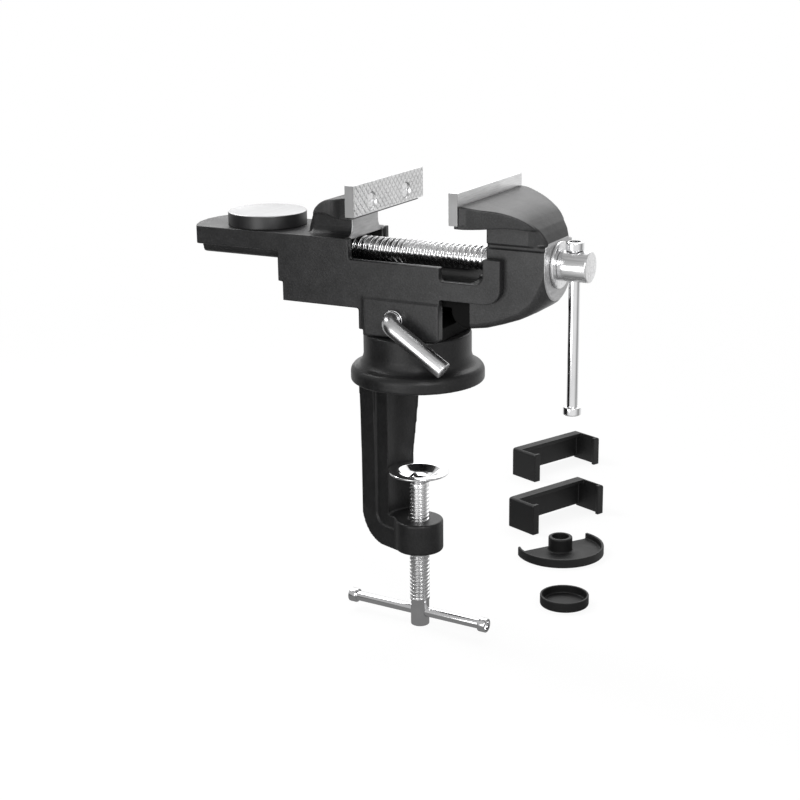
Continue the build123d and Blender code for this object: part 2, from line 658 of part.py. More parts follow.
# ---------------------------------------------------------------- loose protectors
def soft_cover(at):
    """A cover that pushes over a jaw plate from above: back wall, top strip and two ends with return lips."""
    half = cover_len / 2
    z = ground_z
    shape = block(0, cover_t, -half, half, z + 1.6, z + cover_h)
    shape += block(0, 6.4, -half, half, z + cover_h - cover_t, z + cover_h)
    for side in (-1, 1):
        y0, y1 = sorted((side * half, side * (half - cover_t)))
        shape += block(0, cover_w, y0, y1, z, z + cover_h)
        y0, y1 = sorted((side * half, side * (half - cover_lip)))
        shape += block(cover_w - cover_t, cover_w, y0, y1, z, z + cover_h)
    edges = [e for e in shape.edges().filter_by(Axis.X) if e.center().Z > z + cover_h - 0.1]
    edges = [e for e in edges if e.center().X > 8 and abs(abs(e.center().Y) - half) < 0.1]
    shape = rounded(shape, edges, (2.4, 1.6, 0.8))
    return Pos(at[0], at[1], 0) * Rot(0, 0, cover_turn) * Pos(-cover_w / 2, 0, 0) * shape


def flange_pad():
    z = ground_z
    disc = rod_z(0, 0, z, z + pad_rim_h, pad_rim_r) - rod_z(0, 0, z + pad_floor, z + 9, pad_rim_r - pad_rim_t)
    disc -= block(-80, pad_cut, -80, 80, z - 1, z + 9)
    hub = rod_z(0, 0, z, z + pad_hub_h + pad_floor, pad_hub_r)
    hub = rounded(hub, hub.edges().filter_by(GeomType.CIRCLE).group_by(Axis.Z)[-1], (0.7, 0.4))
    shape = disc + hub - rod_z(0, 0, z - 1, z + 40, pad_hub_bore)
    return Pos(pad_at[0], pad_at[1], 0) * Rot(0, 0, pad_turn) * shape


def cup_cap():
    z = ground_z
    shape = rod_z(0, 0, z, z + cap_h, cap_r) - rod_z(0, 0, z + cap_t, z + 9, cap_r - cap_t)
    shape = rounded(shape, shape.edges().filter_by(GeomType.CIRCLE).group_by(Axis.Z)[0], (0.8, 0.5))
    return Pos(cap_at[0], cap_at[1], 0) * shape


keep("clamp_frame", clamp_frame())
keep("swivel_bolt", swivel_bolt())
keep("swivel_washer", swivel_washer())
keep("swivel_nut", swivel_nut())
keep("vise_body", vise_body())
keep("anvil_disc", anvil_disc())
keep("rear_jaw_plate", jaw_plate(rear_face, 1))
keep("rear_jaw_screws", jaw_screws(rear_face, 1))
keep("screw_bearing", screw_bearing())
keep("lock_pin", lock_pin())
keep("lever_ring", lever_ring())
keep("front_jaw", front_jaw())
keep("front_jaw_plate", jaw_plate(front_face, -1))
keep("front_jaw_screws", jaw_screws(front_face, -1))
keep("jaw_nut", jaw_nut())
keep("stop_collar", stop_collar())
keep("main_screw", main_screw())
keep("retaining_ring", retaining_ring())
keep("main_bar", main_bar())
keep("main_bar_knob_top", bar_knob(bar_top))
keep("main_bar_knob_bottom", bar_knob(bar_bottom - bar_knob_h))
keep("lock_lever", lock_lever())
keep("clamp_cup", clamp_cup())
keep("clamp_screw", clamp_screw())
keep("cup_rivet", cup_rivet())
keep("clamp_bar", clamp_bar())
keep("clamp_bar_knob_left", clamp_knob(clamp_bar_x0 - clamp_knob_h))
keep("clamp_bar_knob_right", clamp_knob(clamp_bar_x1))
keep("soft_jaw_cover_a", soft_cover(cover_at[0]))
keep("soft_jaw_cover_b", soft_cover(cover_at[1]))
keep("flange_pad", flange_pad())
keep("cup_cap", cup_cap())
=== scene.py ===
import bpy
import bmesh
import math
from mathutils import Matrix, Vector


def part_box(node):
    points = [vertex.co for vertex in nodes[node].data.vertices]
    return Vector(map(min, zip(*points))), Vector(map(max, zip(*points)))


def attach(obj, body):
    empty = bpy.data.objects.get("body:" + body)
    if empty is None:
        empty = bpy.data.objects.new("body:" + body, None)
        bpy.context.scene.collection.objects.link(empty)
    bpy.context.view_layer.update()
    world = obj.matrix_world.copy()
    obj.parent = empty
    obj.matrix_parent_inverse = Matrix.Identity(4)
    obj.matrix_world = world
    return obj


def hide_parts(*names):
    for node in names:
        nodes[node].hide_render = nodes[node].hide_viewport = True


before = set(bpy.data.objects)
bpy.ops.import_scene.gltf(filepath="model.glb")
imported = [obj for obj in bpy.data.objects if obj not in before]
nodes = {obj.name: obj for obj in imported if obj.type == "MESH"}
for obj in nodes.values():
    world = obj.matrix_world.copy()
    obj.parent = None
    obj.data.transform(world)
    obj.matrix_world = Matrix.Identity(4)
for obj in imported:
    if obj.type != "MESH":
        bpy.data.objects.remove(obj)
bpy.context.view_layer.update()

# Sizes are millimetres in the shared frame, and MM turns them into Blender's metres. Lamps, bumps and the
# scales of noise are in metres.
MM = 0.001
WHITE = (1.0, 1.0, 1.0, 1.0)
SOFT_ANGLE = 38           # degrees: sharper edges than this stay crisp
THREAD_ANGLE = 62         # the same for pieces with a thread, whose flanks are steep but round


def box_mm(node):
    """The low and the high corner of a node's box."""
    low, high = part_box(node)
    return [v / MM for v in low], [v / MM for v in high]


# ------------------------------------------------------------------ sizes
FLOOR_Z = -130.4                # level with the lowest point of the part at rest

# main screw, its collar and the T-bar
SCREW_Z = 62.5                  # height of the screw's axis
SCREW_R = 5.9
JOURNAL_R = 4.4                 # the turned end, which sits in the bearing
SHOULDER_X = -36.9              # where the journal ends
THREAD_X1 = 41.5
SCREW_PITCH = -3.0              # negative: a left-hand thread
SCREW_DEPTH = 1.05
SCREW_RUN_OUT = 2.5             # the thread fades out over this length at both ends
BORE_REACH = 12.0               # from the axis of a screw, the cutter for a bar's hole goes this far
COLLAR_X = 73.6
COLLAR_R = 11.0
HEAD_X = 75.1                   # where the screw's head starts
HEAD_R = 7.3
BAR_X = 81.3
BAR_R = 2.65

# clamp screw, its bar and its cup
CLAMP_R = 5.0
CLAMP_PITCH = 2.0
CLAMP_DEPTH = 0.62
CLAMP_RUN_OUT = 1.2
HUB_R = 4.7                     # the plain end, which holds the bar
HUB_TOP = -117.6
CLAMP_TOP = -53.5               # above this the screw is a pin
CLAMP_PIN_R = 3.0
CLAMP_BAR_Z = -123.3
CLAMP_BAR_TURN = -3.5           # degrees about Z
CLAMP_BAR_R = 2.5
CLAMP_BAR_ENDS = (-39.1, 36.3)
CLAMP_KNOB_STARTS = (-41.8, 34.8)
CLAMP_KNOB_LENGTH = 4.2
CLAMP_KNOB_R = 3.6
CUP_Z = -48.0                   # the cup's rim
RIVET_R = 4.4
CUP_PROFILE = (                 # (radius, height above the rim), out along the inside and back underneath
    (3.08, -3.6), (5.0, -3.6), (7.4, -2.5), (10.4, -0.4), (11.0, 0), (14.6, 0), (15.0, -0.4),
    (14.8, -1.1), (11.6, -1.45), (8.6, -2.9), (6.2, -4.7), (5.6, -5.4), (3.08, -5.4), (3.08, -3.6))

# lock lever: a bar from the side wall out to the elbow, then down to the tip
LEVER_R = 4.3
LEVER_BEND = 5.2                # radius of the bend at the elbow
LEVER_START = Vector((-1.3, -21.6, 33.3))
LEVER_ELBOW = Vector((-1.3, -28.7, 33.3))
LEVER_TIP = Vector((28.6, -28.7, 13.6))
TIP_ROUND = 0.45
SHAFT_R = 3.0
SHAFT_ENDS = (16.7, 21.7)       # distances from the middle of the vise, towards the lever
SOCKET_R = 2.0
SOCKET_DEPTH = 2.2
RING_PROFILE = ((4.4, 21.32), (5.0, 21.32), (5.0, 22.9), (4.62, 22.9), (4.6, 22.5), (4.6, 21.32))

# jaw plates
PLATE_T = 4.6
REAR_FACE = -14.4               # the gripping faces
FRONT_FACE = 34.3
GROOVE_PITCH = 2.75
GROOVE_WIDTH = 0.8
GROOVE_DEPTH = 0.3
GROOVE_FADE = 0.5               # grooves grow to their full depth over this distance from the side
FACE_ROUND = 0.18               # the face's sides lie back by this much,
FACE_ROUND_WIDTH = 0.3          # over this width
PLATE_CELLS = (264, 58)         # along the face and up it
JAW_SCREW_Y = 17.1
JAW_SCREW_Z = 88.9
SCREW_HOLE = (                  # (radius, depth) of a countersunk hole
    (0, -1), (4.3, -1), (4.25, 0.0), (3.55, 0.9), (3.55, 1.4), (2.1, 2.8), (2.1, 6), (0, 6))

# where faces are bare metal, or painted near black as shade, as boxes ((x0, x1), (y0, y1), (z0, z1))
STEM_FRONT = ((-28.2, -27.3), (-20, 20), (60.4, 82.5))
WORN_EDGES = (((-25.0, 21.5), (-17.9, -16.4), (59.6, 60.9)), ((-25.0, 21.5), (16.4, 17.9), (59.6, 60.9)))
# the inside of the body's channel, painted near black as shade
CHANNEL = ((-27.0, 27.0), (-17.05, 17.05), (-5.0, 59.3))
NOSE_FRONT = ((73.15, 74.2), (-20, 20), (40, 80))
# the moving jaw's beam under the screw, painted near black as shade
SLIDE = ((-60.0, 36.0), (-17.0, 17.0), (-5.0, 57.0))
ANVIL_STEEL_Z = (76.55, 76.75)  # from black to bright between these heights
PLATE_SHADED_END_Y = 34.9             # the plates' ends, which are painted darker as shade


# ------------------------------------------------------------------ camera
YAW, PITCH, ROLL = math.radians(-28.302), math.radians(16.249), math.radians(-0.712)
EYE = Vector((354.979, -678.059, 211.652)) * MM
FOCAL_PIXELS, PICTURE_PIXELS = 1620.15, 800.0
SENSOR_WIDTH = 36.0


def make_camera():
    """The camera stands where the photograph was taken from."""
    fwd = Vector((math.sin(YAW) * math.cos(PITCH), math.cos(YAW) * math.cos(PITCH), -math.sin(PITCH)))
    level_right = Vector((math.cos(YAW), -math.sin(YAW), 0.0))
    level_up = level_right.cross(fwd)
    right = level_right * math.cos(ROLL) + level_up * math.sin(ROLL)
    up = level_up * math.cos(ROLL) - level_right * math.sin(ROLL)
    data = bpy.data.cameras.new("camera")
    data.sensor_width = SENSOR_WIDTH
    data.lens = FOCAL_PIXELS / PICTURE_PIXELS * SENSOR_WIDTH
    data.clip_start = 0.01
    data.clip_end = 20.0
    cam = bpy.data.objects.new("camera", data)
    bpy.context.scene.collection.objects.link(cam)
    cam.matrix_world = Matrix((
        (right.x, up.x, -fwd.x, EYE.x),
        (right.y, up.y, -fwd.y, EYE.y),
        (right.z, up.z, -fwd.z, EYE.z),
        (0, 0, 0, 1)))
    bpy.context.scene.camera = cam


# ------------------------------------------------------------------ shader nodes
def new_material(name):
    """A material with a Principled shader, and its object coordinates."""
    mat = bpy.data.materials.new(name)
    mat.use_nodes = True
    tree = mat.node_tree
    tree.nodes.clear()
    out = tree.nodes.new("ShaderNodeOutputMaterial")
    bsdf = tree.nodes.new("ShaderNodeBsdfPrincipled")
    tree.links.new(bsdf.outputs[0], out.inputs[0])
    coord = tree.nodes.new("ShaderNodeTexCoord")
    return mat, tree, bsdf, coord.outputs["Object"]


def surface(tree, bsdf, colour, rough, normal=None):
    """Feeds the shader's colour, roughness and normal."""
    for output, name in ((colour, "Base Color"), (rough, "Roughness"), (normal, "Normal")):
        if output is not None:
            tree.links.new(output, bsdf.inputs[name])


def axes(tree, vec):
    """The X, Y and Z of a vector, by name."""
    sep = tree.nodes.new("ShaderNodeSeparateXYZ")
    tree.links.new(vec, sep.inputs[0])
    return sep.outputs


def noise_node(tree, vec, scale, detail=2.0, rough=0.5):
    n = tree.nodes.new("ShaderNodeTexNoise")
    n.inputs["Scale"].default_value = scale
    n.inputs["Detail"].default_value = detail
    n.inputs["Roughness"].default_value = rough
    tree.links.new(vec, n.inputs["Vector"])
    return n.outputs["Fac"]


def stretched(tree, vec, scale):
    """The coordinates, scaled along each axis."""
    m = tree.nodes.new("ShaderNodeMapping")
    m.inputs["Scale"].default_value = scale
    tree.links.new(vec, m.inputs["Vector"])
    return m.outputs[0]


def ramp(tree, fac, stops):
    """A colour by position; each stop is (position, (red, green, blue))."""
    r = tree.nodes.new("ShaderNodeValToRGB")
    while len(r.color_ramp.elements) < len(stops):
        r.color_ramp.elements.new(0.5)
    for element, (position, colour) in zip(r.color_ramp.elements, stops):
        element.position = position
        element.color = (*colour, 1.0)
    tree.links.new(fac, r.inputs[0])
    return r.outputs[0]


def two_tone(tree, fac, dark, light):
    """From dark to light, as noise needs it: noise stays near the middle of its range."""
    return ramp(tree, fac, [(0.3, dark), (0.7, light)])


def map_range(tree, fac, lo, hi, to_lo, to_hi):
    n = tree.nodes.new("ShaderNodeMapRange")
    n.inputs["From Min"].default_value = lo
    n.inputs["From Max"].default_value = hi
    n.inputs["To Min"].default_value = to_lo
    n.inputs["To Max"].default_value = to_hi
    tree.links.new(fac, n.inputs[0])
    return n.outputs[0]


def bump(tree, height, strength, distance, normal=None):
    b = tree.nodes.new("ShaderNodeBump")
    b.inputs["Strength"].default_value = strength
    b.inputs["Distance"].default_value = distance
    tree.links.new(height, b.inputs["Height"])
    if normal is not None:
        tree.links.new(normal, b.inputs["Normal"])
    return b.outputs[0]


def mix_colour(tree, fac, a, b, blend="MIX"):
    """Mixes two colours; each is an output or a tuple, and so is fac or a number."""
    n = tree.nodes.new("ShaderNodeMix")
    n.data_type = "RGBA"
    n.blend_type = blend
    if isinstance(fac, float):
        n.inputs["Factor"].default_value = fac
    else:
        tree.links.new(fac, n.inputs["Factor"])
    for value, sock in ((a, n.inputs["A"]), (b, n.inputs["B"])):
        if isinstance(value, tuple):
            sock.default_value = (*value, 1.0)
        else:
            tree.links.new(value, sock)
    return n.outputs["Result"]


def maths(tree, operation, a, b=None):
    """A sum on outputs or numbers."""
    n = tree.nodes.new("ShaderNodeMath")
    n.operation = operation
    for value, sock in ((a, n.inputs[0]), (b, n.inputs[1])):
        if value is None:
            continue
        if isinstance(value, (int, float)):
            sock.default_value = value
        else:
            tree.links.new(value, sock)
    return n.outputs[0]


def band(tree, value, lo, hi):
    """1 where value lies between lo and hi, else 0."""
    n = tree.nodes.new("ShaderNodeMath")
    n.operation = "COMPARE"
    n.inputs[1].default_value = (lo + hi) / 2
    n.inputs[2].default_value = (hi - lo) / 2
    tree.links.new(value, n.inputs[0])
    return n.outputs[0]


def boxes_mask(tree, vec, boxes):
    """1 inside any of the boxes, else 0."""
    place = axes(tree, vec)
    mask = None
    for box in boxes:
        inside = None
        for axis, limits in zip("XYZ", box):
            m = band(tree, place[axis], limits[0] * MM, limits[1] * MM)
            inside = m if inside is None else maths(tree, "MULTIPLY", inside, m)
        mask = inside if mask is None else maths(tree, "MAXIMUM", mask, inside)
    return mask


# ------------------------------------------------------------------ materials
def casting_material(name, low, high, gloss, machined=(), painted_shade_boxes=()):
    """Black powder coat over a cast surface: fine grain, slight waviness, semi-gloss.
    low and high are the coat's two tones. Faces inside the machined boxes are bare ground metal;
    faces inside the painted_shade_boxes are rougher, near black and low in gloss: painted shade."""
    mat, tree, bsdf, vec = new_material(name)
    fine = noise_node(tree, vec, 1300.0, 2.0, 0.6)
    coarse = noise_node(tree, vec, 160.0, 3.0, 0.5)
    patch = noise_node(tree, vec, 35.0, 2.0, 0.5)
    tone = two_tone(tree, coarse, (low, low, low * 1.03), (high, high, high * 1.03))
    spots = ramp(tree, fine, [(0.35, (0.7, 0.7, 0.7)), (0.68, (1.3, 1.3, 1.3)), (0.8, (2.2, 2.2, 2.2))])
    colour = mix_colour(tree, 1.0, tone, spots, "MULTIPLY")
    rough = map_range(tree, patch, 0.3, 0.7, 0.36, 0.46)
    # painted shade: inside these boxes the coat turns near black and loses most of its gloss, standing in
    # for shadow
    if painted_shade_boxes:
        mask = boxes_mask(tree, vec, painted_shade_boxes)
        colour = mix_colour(tree, mask, colour, (0.004, 0.004, 0.004))
        rough = maths(tree, "ADD", rough, maths(tree, "MULTIPLY", mask, 0.3))
        unshaded_share = maths(tree, "SUBTRACT", 1.0, maths(tree, "MULTIPLY", mask, 0.8))
        tree.links.new(maths(tree, "MULTIPLY", unshaded_share, gloss), bsdf.inputs["Specular IOR Level"])
    else:
        bsdf.inputs["Specular IOR Level"].default_value = gloss
    if machined:
        mask = boxes_mask(tree, vec, machined)
        lines = noise_node(tree, stretched(tree, vec, (900.0, 120.0, 900.0)), 1.0, 3.0, 0.6)
        bare = two_tone(tree, lines, (0.40, 0.40, 0.402), (0.50, 0.50, 0.503))
        colour = mix_colour(tree, mask, colour, bare)
        tree.links.new(maths(tree, "MULTIPLY", mask, 0.85), bsdf.inputs["Metallic"])
        rough = maths(tree, "ADD", rough, maths(tree, "MULTIPLY", mask, 0.04))
    wavy = bump(tree, coarse, 0.22, 0.0004)
    surface(tree, bsdf, colour, rough, bump(tree, fine, 0.5, 0.00014, wavy))
    return mat


def anvil_material():
    """Ground steel on top, black oxide round the side."""
    mat, tree, bsdf, vec = new_material("anvil_steel")
    lo, hi = ANVIL_STEEL_Z
    top = map_range(tree, axes(tree, vec)["Z"], lo * MM, hi * MM, 0.0, 1.0)
    lines = noise_node(tree, stretched(tree, vec, (2500.0, 60.0, 60.0)), 1.0, 4.0, 0.6)
    cloud = noise_node(tree, vec, 70.0, 3.0, 0.55)
    bright = two_tone(tree, lines, (0.37, 0.37, 0.374), (0.45, 0.45, 0.454))
    oxide = two_tone(tree, cloud, (0.010, 0.010, 0.0105), (0.022, 0.022, 0.0225))
    tree.links.new(top, bsdf.inputs["Metallic"])
    surface(tree, bsdf, mix_colour(tree, top, oxide, bright), map_range(tree, cloud, 0.3, 0.7, 0.36, 0.46),
            bump(tree, lines, 0.15, 0.00006))
    return mat


def chrome_material():
    """Bright plate with a faint mottle."""
    mat, tree, bsdf, vec = new_material("bright_plate")
    bsdf.inputs["Metallic"].default_value = 1.0
    mottled = noise_node(tree, vec, 260.0, 3.0, 0.6)
    cloud = noise_node(tree, vec, 60.0, 2.0, 0.5)
    surface(tree, bsdf, two_tone(tree, cloud, (0.80, 0.80, 0.81), (0.88, 0.88, 0.885)),
            map_range(tree, mottled, 0.3, 0.75, 0.07, 0.17), bump(tree, mottled, 0.12, 0.0001))
    return mat


def thread_material():
    """Bright plated thread: plain and smooth, slightly uneven in tone."""
    mat, tree, bsdf, vec = new_material("plated_thread")
    bsdf.inputs["Metallic"].default_value = 1.0
    cloud = noise_node(tree, vec, 90.0, 2.0, 0.5)
    surface(tree, bsdf, two_tone(tree, cloud, (0.78, 0.78, 0.785), (0.88, 0.88, 0.885)),
            map_range(tree, cloud, 0.3, 0.7, 0.16, 0.22))
    return mat


def brushed_material(name, stretch, base=(0.62, 0.62, 0.625), rough=(0.25, 0.42), ends=None):
    """Ground or turned steel with fine lines; stretch sets the direction of the lines.
    ends: beyond this distance from the Y origin the faces are rougher and painted darker, as shade."""
    mat, tree, bsdf, vec = new_material(name)
    bsdf.inputs["Metallic"].default_value = 1.0
    lines = noise_node(tree, stretched(tree, vec, stretch), 1.0, 4.0, 0.65)
    cloud = noise_node(tree, vec, 90.0, 2.0, 0.5)
    colour = two_tone(tree, lines, tuple(c * 0.82 for c in base), tuple(min(1.0, c * 1.18) for c in base))
    uneven = map_range(tree, cloud, 0.3, 0.7, *rough)
    if ends is not None:
        # painted shade: the ends get a darker colour than the faces
        across = maths(tree, "ABSOLUTE", axes(tree, vec)["Y"])
        end_shade = map_range(tree, across, (ends - 0.05) * MM, ends * MM, 0.0, 1.0)
        colour = mix_colour(tree, end_shade, colour, tuple(c * 0.48 for c in base))
        uneven = maths(tree, "ADD", uneven, maths(tree, "MULTIPLY", end_shade, 0.25))
    surface(tree, bsdf, colour, uneven, bump(tree, lines, 0.2, 0.00008))
    return mat


def rubber_material():
    """Matt black rubber with a fine grain."""
    mat, tree, bsdf, vec = new_material("black_rubber")
    fine = noise_node(tree, vec, 1800.0, 2.0, 0.6)
    cloud = noise_node(tree, vec, 70.0, 3.0, 0.55)
    bsdf.inputs["Specular IOR Level"].default_value = 0.34
    tone = ramp(tree, cloud, [(0.25, (0.0035, 0.0035, 0.0037)), (0.75, (0.0065, 0.0065, 0.0067))])
    surface(tree, bsdf, tone, map_range(tree, cloud, 0.3, 0.7, 0.5, 0.62), bump(tree, fine, 0.35, 0.0001))
    return mat


M = {
    "casting": casting_material("black_casting", 0.008, 0.012, 0.31),
    "body": casting_material("black_body_casting", 0.013, 0.020, 0.38, (STEM_FRONT, *WORN_EDGES),
                             (CHANNEL,)),
    "jaw": casting_material("black_jaw_casting", 0.013, 0.020, 0.38, (NOSE_FRONT,), (SLIDE,)),
    "chrome": chrome_material(),
    "thread": thread_material(),
    "plate": brushed_material("jaw_plate_steel", (120.0, 120.0, 4000.0), (0.74, 0.74, 0.742), (0.28, 0.40),
                              PLATE_SHADED_END_Y),
    "disc": anvil_material(),
    "steel": brushed_material("plain_steel", (1500.0, 1500.0, 150.0)),
    "lever": brushed_material("satin_lever", (60.0, 700.0, 60.0), (0.66, 0.66, 0.665), (0.22, 0.32)),
    "head": brushed_material("turned_steel", (40.0, 900.0, 900.0), (0.74, 0.74, 0.745), (0.16, 0.26)),
    "rubber": rubber_material(),
}


def paint(obj, mat):
    """Gives obj this material alone."""
    obj.data.materials.clear()
    obj.data.materials.append(mat)


# ------------------------------------------------------------------ meshes
def mesh_object(name, verts, faces):
    """A linked object from millimetre points, its doubled points joined and its faces turned outward."""
    me = bpy.data.meshes.new(name)
    me.from_pydata([tuple(float(c) * MM for c in v) for v in verts], [], faces)
    me.validate()
    bm = bmesh.new()
    bm.from_mesh(me)
    bmesh.ops.remove_doubles(bm, verts=bm.verts, dist=1e-6)
    bmesh.ops.recalc_face_normals(bm, faces=bm.faces)
    bm.to_mesh(me)
    bm.free()
    obj = bpy.data.objects.new(name, me)
    bpy.context.scene.collection.objects.link(obj)
    return obj


def join_part(obj, body, slot, node):
    """Puts obj on its body, in place of the CAD node if one is named."""
    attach(obj, body)
    if node:
        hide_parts(node)


def add_mesh(name, verts, faces, mat, body, slot, node=None, edge=SOFT_ANGLE):
    """A finished piece; edges sharper than edge degrees stay crisp."""
    obj = mesh_object(name, verts, faces)
    for p in obj.data.polygons:
        p.use_smooth = True
    paint(obj, mat)
    obj.data.set_sharp_from_angle(angle=math.radians(edge))
    join_part(obj, body, slot, node)
    return obj


def evaluated_mesh(obj):
    """The object's shape with its modifiers applied, as a new mesh."""
    graph = bpy.context.evaluated_depsgraph_get()
    return bpy.data.meshes.new_from_object(obj.evaluated_get(graph))


def cut(obj, cutter_verts, cutter_faces, edge=SOFT_ANGLE):
    """Takes a cutter's shape out of obj."""
    tool = mesh_object("cutter", cutter_verts, cutter_faces)
    mod = obj.modifiers.new("cut", "BOOLEAN")
    mod.operation = "DIFFERENCE"
    mod.solver = "EXACT"
    mod.object = tool
    bpy.context.view_layer.update()
    done = evaluated_mesh(obj)
    obj.modifiers.clear()
    obj.data = done
    bpy.data.objects.remove(tool)
    done.set_sharp_from_angle(angle=math.radians(edge))


def soft_copy(node, mat, body, slot, voxel, rounds):
    """A copy of a CAD node with its edges rounded as a casting's or a moulding's are."""
    me = nodes[node].data.copy()
    bm = bmesh.new()
    bm.from_mesh(me)
    bmesh.ops.remove_doubles(bm, verts=bm.verts, dist=2e-6)
    bm.to_mesh(me)
    bm.free()
    obj = bpy.data.objects.new(node + "_form", me)
    bpy.context.scene.collection.objects.link(obj)
    remesh = obj.modifiers.new("remesh", "REMESH")
    remesh.mode = "VOXEL"
    remesh.voxel_size = voxel * MM
    smooth = obj.modifiers.new("smooth", "SMOOTH")
    smooth.factor = 0.5
    smooth.iterations = rounds
    bpy.context.view_layer.update()
    done = evaluated_mesh(obj)
    obj.modifiers.clear()
    obj.data = done
    done.name = node + "_form"
    for p in done.polygons:
        p.use_smooth = True
    paint(obj, mat)
    join_part(obj, body, slot, node)


# ------------------------------------------------------------------ turned shapes
ALONG_X = Matrix(((0, 0, 1), (0, 1, 0), (-1, 0, 0)))           # turns the Z axis into X
AGAINST_X = Matrix(((0, 0, -1), (0, 1, 0), (1, 0, 0)))         # turns the Z axis into -X
AGAINST_Y = Matrix(((1, 0, 0), (0, 0, -1), (0, 1, 0)))         # turns the Z axis into -Y


def at(x, y, z, turn=None):
    """The place of a turned shape: first turn, then the move."""
    m = Matrix.Translation((x, y, z))
    return m @ turn.to_4x4() if turn is not None else m


SCREW_AXIS = at(0, 0, SCREW_Z, ALONG_X)
CLAMP_BAR_AXIS = Matrix.Rotation(math.radians(CLAMP_BAR_TURN), 4, "Z") @ at(0, 0, CLAMP_BAR_Z, ALONG_X)
LEVER_AXIS = at(LEVER_START.x, 0, LEVER_START.z, AGAINST_Y)


def rod(radius, low, high):
    """Profile of a plain rod."""
    return [(0, low), (radius, low), (radius, high), (0, high)]


def handle_rod(radius, low, high):
    """Profile of a T-bar's rod, whose ends are chamfered."""
    tip = radius - 0.4
    return [(0, low), (tip, low), (radius, low + 0.5), (radius, high - 0.5), (tip, high), (0, high)]


def ring_profile(bore, radius, low, high):
    """Profile of a ring round something of radius bore, which it doesn't touch."""
    bore += 0.02
    return [(bore, low), (radius, low), (radius, high), (bore, high)]


def smooth_profile(points, radius=0.4, steps=4):
    """Rounds the corners of an open (a, b) profile by an arc-like cut; the ends stay."""
    out = [points[0]]
    for before, corner, after in zip(points, points[1:], points[2:]):
        corner = Vector(corner)
        d0, d1 = Vector(before) - corner, Vector(after) - corner
        r = min(radius, d0.length * 0.45, d1.length * 0.45)
        if r < 0.02:
            out.append(tuple(corner))
            continue
        a, b = corner + d0.normalized() * r, corner + d1.normalized() * r
        for k in range(steps + 1):
            t = k / steps
            q = a * (1 - t) ** 2 + corner * 2 * t * (1 - t) + b * t ** 2
            out.append((q.x, q.y))
    out.append(points[-1])
    return out


def add_ring(verts, rings, segments, radius, point):
    """Adds a ring of points, or the middle one alone where the radius is nothing.
    point(side, up, radius) places a point whose direction on the ring is (side, up)."""
    if radius < 1e-4:
        rings.append([len(verts)])
        verts.append(point(0.0, 0.0, 0.0))
        return
    rings.append(list(range(len(verts), len(verts) + segments)))
    for k in range(segments):
        a = 2 * math.pi * k / segments
        verts.append(point(math.cos(a), math.sin(a), radius))


def skin(rings):
    """The faces between rings that follow each other."""
    faces = []
    for a, b in zip(rings, rings[1:]):
        segments = max(len(a), len(b))
        if segments == 1:
            continue
        for k in range(segments):
            n = (k + 1) % segments
            if len(a) == 1:
                faces.append((a[0], b[k], b[n]))
            elif len(b) == 1:
                faces.append((a[k], a[n], b[0]))
            else:
                faces.append((a[k], a[n], b[n], b[k]))
    return faces


def on_axis(height):
    """Places ring points about the Z axis at a height."""
    return lambda side, up, radius: (radius * side, radius * up, height)


def placed(verts, place):
    return [tuple(place @ Vector(v)) for v in verts]


def lathe(profile, segments=96, place=None):
    """Points and faces of a profile of (radius, height) turned about Z."""
    verts, rings = [], []
    for radius, height in profile:
        add_ring(verts, rings, segments, radius, on_axis(height))
    return (verts if place is None else placed(verts, place)), skin(rings)


def turned(name, profile, place, mat, body, slot, node, radius=0.4, segments=96):
    """A turned piece whose corners are rounded by radius."""
    verts, faces = lathe(smooth_profile(profile, radius), segments, place)
    return add_mesh(name, verts, faces, mat, body, slot, node)


def groove(turns):
    """How deep a thread is cut, 0 to 1, at a place measured in turns from the start of a crest."""
    crest_end, root_start, root_end = 0.34, 0.56, 0.78
    t = turns % 1.0
    if t < crest_end:
        d = 0.0
    elif t < root_start:
        d = (t - crest_end) / (root_start - crest_end)
    elif t < root_end:
        d = 1.0
    else:
        d = 1.0 - (t - root_end) / (1.0 - root_end)
    return d * d * (3 - 2 * d)


def threaded_rod(low, high, thread, pitch, depth, run_out, segments=96, rows_per_turn=20):
    """A threaded rod with turned ends. low and high are profiles of (radius, z): low from the axis to
    the thread, high from the thread to the axis. thread is (radius, z0, z1). The thread fades out over
    run_out at both ends."""
    radius, z0, z1 = thread
    verts, rings = [], []
    for r, z in low:
        add_ring(verts, rings, segments, r, on_axis(z))
    rows = int((z1 - z0) / abs(pitch) * rows_per_turn)
    for i in range(rows + 1):
        z = z0 + (z1 - z0) * i / rows
        fade = min(1.0, (z - z0) / run_out, (z1 - z) / run_out)
        rings.append(list(range(len(verts), len(verts) + segments)))
        for k in range(segments):
            a = 2 * math.pi * k / segments
            r = radius - depth * groove(z / pitch - a / (2 * math.pi)) * fade
            verts.append((r * math.cos(a), r * math.sin(a), z))
    for r, z in high:
        add_ring(verts, rings, segments, r, on_axis(z))
    return verts, skin(rings)


def knob(node, place, z0, z1, bore, radius, body):
    """A riveted knob: a short drum with full round edges, open round the rod that passes through it."""
    profile = ring_profile(bore, radius, z0, z1)
    turned(node + "_form", profile, place, M["chrome"], body, "bright_plate", node, 1.3, 64)


# ------------------------------------------------------------------ castings, rubber and plain pieces
def plain_pieces():
    """CAD nodes that are shown as they are."""
    for name in ("rear_jaw_screws", "front_jaw_screws"):
        paint(nodes[name], M["head"])
    for name in ("swivel_bolt", "swivel_washer", "swivel_nut", "lock_pin",
                 "screw_bearing", "jaw_nut", "retaining_ring"):
        paint(nodes[name], M["steel"])


def castings():
    soft_copy("clamp_frame", M["casting"], "base", "black_casting", 0.5, 3)
    soft_copy("vise_body", M["body"], "head", "black_casting", 0.5, 2)
    soft_copy("front_jaw", M["jaw"], "moving_jaw", "black_casting", 0.42, 3)


def loose_rubber():
    for name in ("soft_jaw_cover_a", "soft_jaw_cover_b", "flange_pad", "cup_cap"):
        soft_copy(name, M["rubber"], "base", "black_rubber", 0.3, 3)


